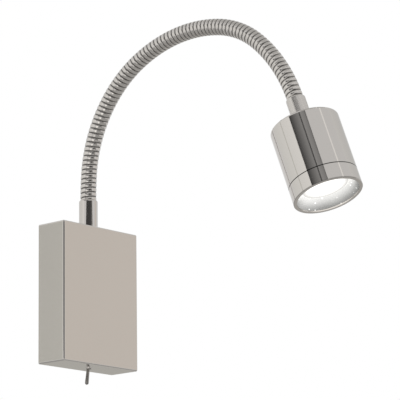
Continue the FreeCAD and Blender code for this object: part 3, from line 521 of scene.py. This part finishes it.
def tube(name, s, radius):
    """A closed tube along the route: rings at lengths s, a radius for each ring and angle."""
    rings, sides = radius.shape
    a = ring_angles(sides)
    centre, turn = route(s)
    side = np.array([1.0, 0, 0])
    up = np.stack([np.zeros(rings), -np.cos(turn), -np.sin(turn)], 1)
    points = (centre[:, None, :] + radius[..., None]
              * (np.cos(a)[None, :, None] * side + np.sin(a)[None, :, None] * up[:, None, :]))
    points = np.concatenate([points.reshape(-1, 3), centre[[0, -1]]])
    i = np.arange(rings - 1)[:, None] * sides
    j = np.arange(sides)
    after = (j + 1) % sides
    walls = np.stack([i + j, i + sides + j, i + sides + after, i + after], -1).reshape(-1, 4)
    hub = rings * sides
    last_ring = hub - sides
    first = np.stack([np.full(sides, hub), j, after], 1)
    last = np.stack([np.full(sides, hub + 1), last_ring + after, last_ring + j], 1)
    mesh = bpy.data.meshes.new(name)
    mesh.from_pydata(points, [], [*walls.tolist(), *first.tolist(), *last.tolist()])
    mesh.shade_smooth()
    obj = bpy.data.objects.new(name, mesh)
    bpy.context.scene.collection.objects.link(obj)
    return obj


def hose_turns(name, start, end, settings):
    """One stretch of the wound hose, with its fullness kept for the finish."""
    s = np.linspace(start, end, int((end - start) / settings.rib_pitch * RINGS_PER_TURN) + 2)
    bead = winding(s, settings)
    piece = tube(name, s, settings.crest_radius - settings.groove_depth * (1 - bead))
    crest = piece.data.attributes.new("crest", "FLOAT", "POINT")
    # The two last values are those of the end caps' middles.
    crest.data.foreach_set("value", np.append(bead.ravel(), [0.0, 0.0]).astype(np.float32))
    return piece


def cable_run(name, start, end):
    """One stretch of the round cable inside the hose."""
    s = np.linspace(start, end, int((end - start) / CABLE_RING_STEP) + 2)
    return tube(name, s, np.full((len(s), CABLE_SIDES), CABLE_RADIUS))


def neck_body(link):
    """The body that a link, counted from 1, belongs to."""
    return frame["nodes"][f"hose_link_{link:02d}"]["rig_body"]


def over_joints(start, end):
    """For each neck joint: its number, the ends of its stretch, and the points it bends between.

    The first stretch begins at start and the last one runs on to end.
    """
    last = len(LINK_BENDS) - 1
    for joint in range(1, last + 1):
        low = start if joint == 1 else (joint - 0.5) * LINK_LENGTH
        high = end if joint == last else (joint + 0.5) * LINK_LENGTH
        near = np.array([joint - BEND_REACH, joint + BEND_REACH]) * LINK_LENGTH
        yield joint, low, high, route(near)[0].tolist()


class LAMP_OT_neck(bpy.types.Operator):
    """Winds the ribbed hose, one stretch for each of the neck's joints."""

    bl_idname = "lamp.neck"
    bl_label = "Make the neck"

    def execute(self, context):
        settings = context.scene.lamp
        metal = wound_nickel(settings)
        for joint, low, high, bend in over_joints(0.0, NECK_LENGTH):
            piece = hose_turns(f"hose_turns_{joint:02d}", low, high, settings)
            piece.data.materials.append(metal)
            neck_body(joint)
            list(bend)
            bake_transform(piece)
            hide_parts(f"hose_link_{joint:02d}")
        # There is one more link than joints, and the last stretch covers it too.
        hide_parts(f"hose_link_{joint + 1:02d}")
        return {"FINISHED"}


class LAMP_OT_cable(bpy.types.Operator):
    """Runs the cable from the driver through the neck to the board, one stretch for each joint.
    """

    bl_idname = "lamp.cable"
    bl_label = "Make the cable"

    def execute(self, context):
        jacket = finish("cable_jacket", (0.75, 0.75, 0.72), roughness=0.5)
        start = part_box("led_cable")[0][2] - neck_start()[2]
        end = NECK_LENGTH + along_head("led_board")[0]
        for joint, low, high, bend in over_joints(start, end):
            piece = cable_run(f"cable_run_{joint:02d}", low, high)
            piece.data.materials.append(jacket)
            neck_body(joint)
            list(bend)
            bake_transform(piece)
            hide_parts("led_cable")
        return {"FINISHED"}


class LAMP_OT_metal(bpy.types.Operator):
    """Nickel plating on every outer metal piece: polished, and satin on the head's collar."""

    bl_idname = "lamp.metal"
    bl_label = "Finish the metal"

    def execute(self, context):
        tint = context.scene.lamp.nickel
        # Places along the head's axis of the painted shade lines at the seam and at the rim.
        seam = (along_head("head_housing")[1] + along_head("head_bezel")[0]) / 2
        rim = along_head("head_bezel")[1]
        kinds = (
            (polished_nickel("polished_nickel", tint),
             ("housing_cover", "arm_base_collar", "toggle_bushing", "cover_screws")),
            (polished_nickel("satin_nickel", tint, SATIN_GLOSS), ("head_collar",)),
            (polished_nickel("head_nickel", tint, seam=seam, rim=rim),
             ("head_housing", "head_bezel")),
            (polished_nickel("lever_nickel", [c * LEVER_SHADE for c in tint]),
             ("toggle_lever",)),
        )
        for metal, names in kinds:
            paint(metal, *names)
            smooth(*names)
        return {"FINISHED"}


class LAMP_OT_light(bpy.types.Operator):
    """Mirror reflector, lit lens and the parts of the light source."""

    bl_idname = "lamp.light"
    bl_label = "Make the light"

    def execute(self, context):
        paint(spun_mirror(along_head("diffuser_lens")[1], along_head("head_bezel")[1]),
              "reflector")
        paint(lit_lens(context.scene.lamp), "diffuser_lens")
        paint(finish("silicone", (0.75, 0.75, 0.74), roughness=0.5),
              "lens_gasket", "thermal_pad")
        paint(finish("board_white", (0.85, 0.85, 0.83), roughness=0.35), "led_board")
        paint(finish("phosphor", (0.95, 0.78, 0.22), roughness=0.4, scale=400.0), "led_chip")
        paint(finish("cast_aluminium", (0.62, 0.62, 0.63), roughness=0.45, metallic=1.0,
                     scale=300.0, variation=0.08, relief=0.1 * MM), "heat_sink")
        smooth("reflector", "diffuser_lens", "lens_gasket", "heat_sink")
        return {"FINISHED"}


class LAMP_OT_inside(bpy.types.Operator):
    """Finishes of the bracket, the switch, the driver, the leads and the fixings."""

    bl_idname = "lamp.inside"
    bl_label = "Finish the inside"

    def execute(self, context):
        paint(finish("zinc_steel", (0.60, 0.61, 0.63), roughness=0.32, metallic=1.0,
                     scale=160.0, variation=0.10, relief=0.1 * MM),
              "wall_bracket", "driver_screws", "terminal_screws", "toggle_pin", "toggle_nut",
              "arm_nipple", "toothed_washer", "arm_lock_nut", "head_lock_nut", "board_screws")
        paint(finish("brass_nickel", (0.70, 0.62, 0.42), roughness=0.28, metallic=1.0),
              "earth_screw", "earth_tag", "toggle_lugs")
        paint(finish("black_rubber", grey(0.02), roughness=0.7, scale=500.0, variation=0.2,
                     relief=0.1 * MM), "cable_grommet")
        paint(finish("black_plastic", grey(0.03), roughness=0.4, scale=500.0, variation=0.2),
              "toggle_body", "terminal_block")
        paint(finish("white_plastic", (0.80, 0.80, 0.78), roughness=0.45, scale=500.0,
                     variation=0.03, relief=0.1 * MM), "led_driver")
        paint(finish("brown_sleeve", (0.16, 0.07, 0.03), roughness=0.45),
              "live_lead", "switched_lead")
        paint(finish("blue_sleeve", (0.03, 0.10, 0.40), roughness=0.45), "neutral_lead")
        paint(finish("earth_sleeve", (0.25, 0.50, 0.08), roughness=0.45), "earth_lead")
        smooth("wall_bracket", "cable_grommet", "led_driver", "live_lead", "switched_lead",
               "neutral_lead", "earth_lead", "earth_tag")
        return {"FINISHED"}


# ---- studio ----------------------------------------------------------------------------------
def axes(azimuth, elevation, roll=0.0):
    """Unit vectors back, right and up of a view, as numpy arrays."""
    back = np.array([math.sin(azimuth) * math.cos(elevation),
                     -math.cos(azimuth) * math.cos(elevation), math.sin(elevation)])
    right = np.array([math.cos(azimuth), math.sin(azimuth), 0.0])
    up = np.cross(back, right)
    return (back, math.cos(roll) * right + math.sin(roll) * up,
            -math.sin(roll) * right + math.cos(roll) * up)


def face_inward(obj, azimuth, elevation, distance):
    """Puts an object at a distance from the origin, its -Z axis pointing back at it."""
    back = axes(math.radians(azimuth), math.radians(elevation))[0]
    obj.rotation_mode = "QUATERNION"
    obj.location = back * distance
    obj.rotation_quaternion = (-Vector(back)).to_track_quat("-Z", "Y")


def make_camera():
    """The photograph's camera."""
    back, right, up = axes(CAMERA_AZIMUTH, CAMERA_ELEVATION, CAMERA_ROLL)
    place = back * CAMERA_DISTANCE + CAMERA_RIGHT * right + CAMERA_UP * up
    data = bpy.data.cameras.new("camera")
    data.lens = CAMERA_LENS
    data.sensor_width = CAMERA_SENSOR
    data.dof.use_dof = False
    camera = bpy.data.objects.new("camera", data)
    turn = np.column_stack([right, up, back])
    camera.matrix_world = Matrix.Translation(place) @ Matrix(turn.tolist()).to_4x4()
    bpy.context.scene.collection.objects.link(camera)
    bpy.context.scene.camera = camera


def rectangle(name, width, height, z=0.0):
    """A flat rectangle round the Z axis, with its normal up."""
    w, h = width / 2, height / 2
    mesh = bpy.data.meshes.new(name)
    mesh.from_pydata([(-w, -h, z), (w, -h, z), (w, h, z), (-w, h, z)], [], [(0, 1, 2, 3)])
    obj = bpy.data.objects.new(name, mesh)
    bpy.context.scene.collection.objects.link(obj)
    return obj


def card(name, azimuth, elevation, distance, width, height, low, high):
    """A flat card that the metal reflects and the camera doesn't see, from colour to colour."""
    obj = rectangle(name, width, height)
    face_inward(obj, azimuth, elevation, distance)
    n = Nodes(name)
    across = n.add("ShaderNodeSeparateXYZ")
    n.link(n.place(), across.inputs["Vector"])
    share = n.map_range(across.outputs["X"], From_Min=-width / 2, From_Max=width / 2)
    n.set(Base_Color=(0, 0, 0, 1), Specular_IOR_Level=0.0,
          Emission_Color=n.ramp(share, low, high), Emission_Strength=1.0)
    obj.data.materials.append(n.material)
    obj.visible_camera = False
    obj.visible_shadow = False
    obj.visible_diffuse = False


def soft_light(name, azimuth, elevation, distance, size, power):
    """A large soft lamp that the metal doesn't reflect."""
    data = bpy.data.lights.new(name, "AREA")
    data.shape = "SQUARE"
    data.size = size
    data.energy = power
    obj = bpy.data.objects.new(name, data)
    obj.visible_glossy = False
    face_inward(obj, azimuth, elevation, distance)
    bpy.context.scene.collection.objects.link(obj)


def make_world(brightness):
    """White behind the object, a plain grey room in its reflections."""
    world = bpy.data.worlds.new("studio")
    bpy.context.scene.world = world
    world.use_nodes = True
    tree = world.node_tree
    room = tree.nodes["Background"]
    room.inputs["Color"].default_value = (*grey(brightness), 1)
    white = tree.nodes.new("ShaderNodeBackground")
    white.inputs["Color"].default_value = (1, 1, 1, 1)
    path = tree.nodes.new("ShaderNodeLightPath")
    mix = tree.nodes.new("ShaderNodeMixShader")
    tree.links.new(path.outputs["Is Camera Ray"], mix.inputs["Fac"])
    tree.links.new(room.outputs["Background"], mix.inputs[1])
    tree.links.new(white.outputs["Background"], mix.inputs[2])
    tree.links.new(mix.outputs["Shader"], tree.nodes["World Output"].inputs["Surface"])


def make_floor():
    """A pale floor below the lamp: white to the camera, a soft grey in the metal."""
    obj = rectangle("floor", FLOOR_WIDTH, FLOOR_WIDTH, FLOOR_Z)
    n = Nodes("pale_floor")
    n.set(Base_Color=n.ramp(n.noise(FLOOR_GRAIN), *FLOOR_COLOURS), Roughness=FLOOR_ROUGHNESS)
    white = n.add("ShaderNodeEmission", Strength=1.0)
    path = n.add("ShaderNodeLightPath")
    mix = n.add("ShaderNodeMixShader")
    n.link(path.outputs["Is Camera Ray"], mix.inputs["Fac"])
    n.link(n.shader.outputs["BSDF"], mix.inputs[1])
    n.link(white.outputs["Emission"], mix.inputs[2])
    n.link(mix.outputs["Shader"], n.tree.nodes["Material Output"].inputs["Surface"])
    obj.data.materials.append(n.material)


class LAMP_OT_studio(bpy.types.Operator):
    """White background, soft light, reflection cards and the camera."""

    bl_idname = "lamp.studio"
    bl_label = "Set up the studio"

    def execute(self, context):
        make_world(context.scene.lamp.studio_grey)
        make_camera()
        make_floor()
        soft_light("key_light", *KEY_LIGHT)
        for values in CARDS:
            card(*values)
        context.scene.view_settings.view_transform = "Standard"
        return {"FINISHED"}


# ---- panel -----------------------------------------------------------------------------------
class LAMP_PT_panel(bpy.types.Panel):
    """Sidebar panel with the lamp's settings and steps."""

    bl_label = "Reading lamp"
    bl_space_type = "VIEW_3D"
    bl_region_type = "UI"
    bl_category = "Lamp"

    def draw(self, context):
        for name in LampSettings.__annotations__:
            self.layout.prop(context.scene.lamp, name)
        for step in STEPS:
            self.layout.operator(step.bl_idname)


STEPS = (LAMP_OT_metal, LAMP_OT_neck, LAMP_OT_cable, LAMP_OT_light, LAMP_OT_inside,
         LAMP_OT_studio)
CLASSES = (LampSettings, *STEPS, LAMP_PT_panel)


def register():
    """Adds the settings, the steps and the panel."""
    for cls in CLASSES:
        bpy.utils.register_class(cls)
    bpy.types.Scene.lamp = bpy.props.PointerProperty(type=LampSettings)


def unregister():
    """Takes them away again."""
    del bpy.types.Scene.lamp
    for cls in reversed(CLASSES):
        bpy.utils.unregister_class(cls)


def main():
    """Makes everything in order."""
    register()
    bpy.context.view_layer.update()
    bpy.ops.lamp.metal()
    bpy.ops.lamp.neck()
    bpy.ops.lamp.cable()
    bpy.ops.lamp.light()
    bpy.ops.lamp.inside()
    bpy.ops.lamp.studio()


if __name__ == "__main__":
    main()
